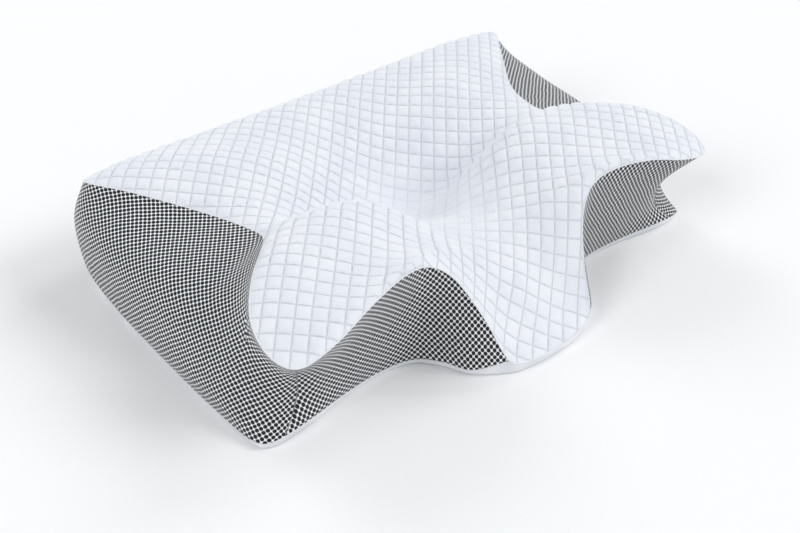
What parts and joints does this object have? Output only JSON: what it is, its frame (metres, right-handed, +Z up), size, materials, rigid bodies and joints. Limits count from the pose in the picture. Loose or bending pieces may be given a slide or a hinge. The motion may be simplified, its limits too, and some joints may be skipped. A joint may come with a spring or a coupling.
{
  "type": "contoured cervical traction pillow",
  "caption": "Butterfly-shaped foam pillow for neck traction and support, with raised shoulder wings, a head hollow and a zipped cover.",
  "frame": {"origin": "middle of the flat underside: on the mirror plane, halfway between the lip's front edge and the back edge of the shape it is drawn from", "axes": "+Z up, +Y towards the long back edge, +X across the width, so that the low front lip points to -Y"},
  "size_m": [0.626, 0.4501, 0.1498],
  "materials": {
    "memory_foam": "open-cell slow-recovery foam, cream, matt with a thin moulded skin",
    "liner_knit": "thin plain white jersey knit, matt",
    "quilted_knit": "white knitted fabric quilted in small diamonds, soft, matt with a faint sheen",
    "mesh_fabric": "open air mesh: pale yarn round small dark holes, matt",
    "base_fabric": "plain white knitted fabric, matt",
    "zip_tape": "white woven herringbone tape, matt",
    "zip_coil": "white moulded nylon coil, satin",
    "zip_metal": "nickel-plated die-cast zinc, bright",
    "label_satin": "white satin label, blank"
  },
  "bodies": {
    "pillow": {"foam_core": "memory_foam", "liner_top": "liner_knit", "liner_bottom": "liner_knit", "quilted_top_panel": "quilted_knit", "left_side_panel": "mesh_fabric", "right_side_panel": "mesh_fabric", "left_front_gusset": "mesh_fabric", "right_front_gusset": "mesh_fabric", "rear_panel_upper": "mesh_fabric", "rear_panel_lower": "mesh_fabric", "bottom_panel": "base_fabric", "zip_tape_upper": "zip_tape", "zip_tape_lower": "zip_tape", "zip_coil_upper": "zip_coil", "zip_coil_lower": "zip_coil", "zip_top_stops": "zip_metal", "zip_bottom_stop": "zip_metal", "care_label": "label_satin"},
    "slider": {"zip_slider": "zip_metal"},
    "pull_tab": {"zip_pull_tab": "zip_metal"}
  },
  "joints": [
    {"name": "zip_slide", "type": "slide", "parent": "pillow", "child": "slider", "axis": [-1, 0, 0], "range_m": [0, 0.408], "deforming": ["zip_coil_upper", "zip_coil_lower"]},
    {"name": "tab_swing", "type": "hinge", "parent": "slider", "child": "pull_tab", "pos_m": [0.204, 0.2262, 0.056], "axis": [0, 0, -1], "range_deg": [0, 180]}
  ]
}
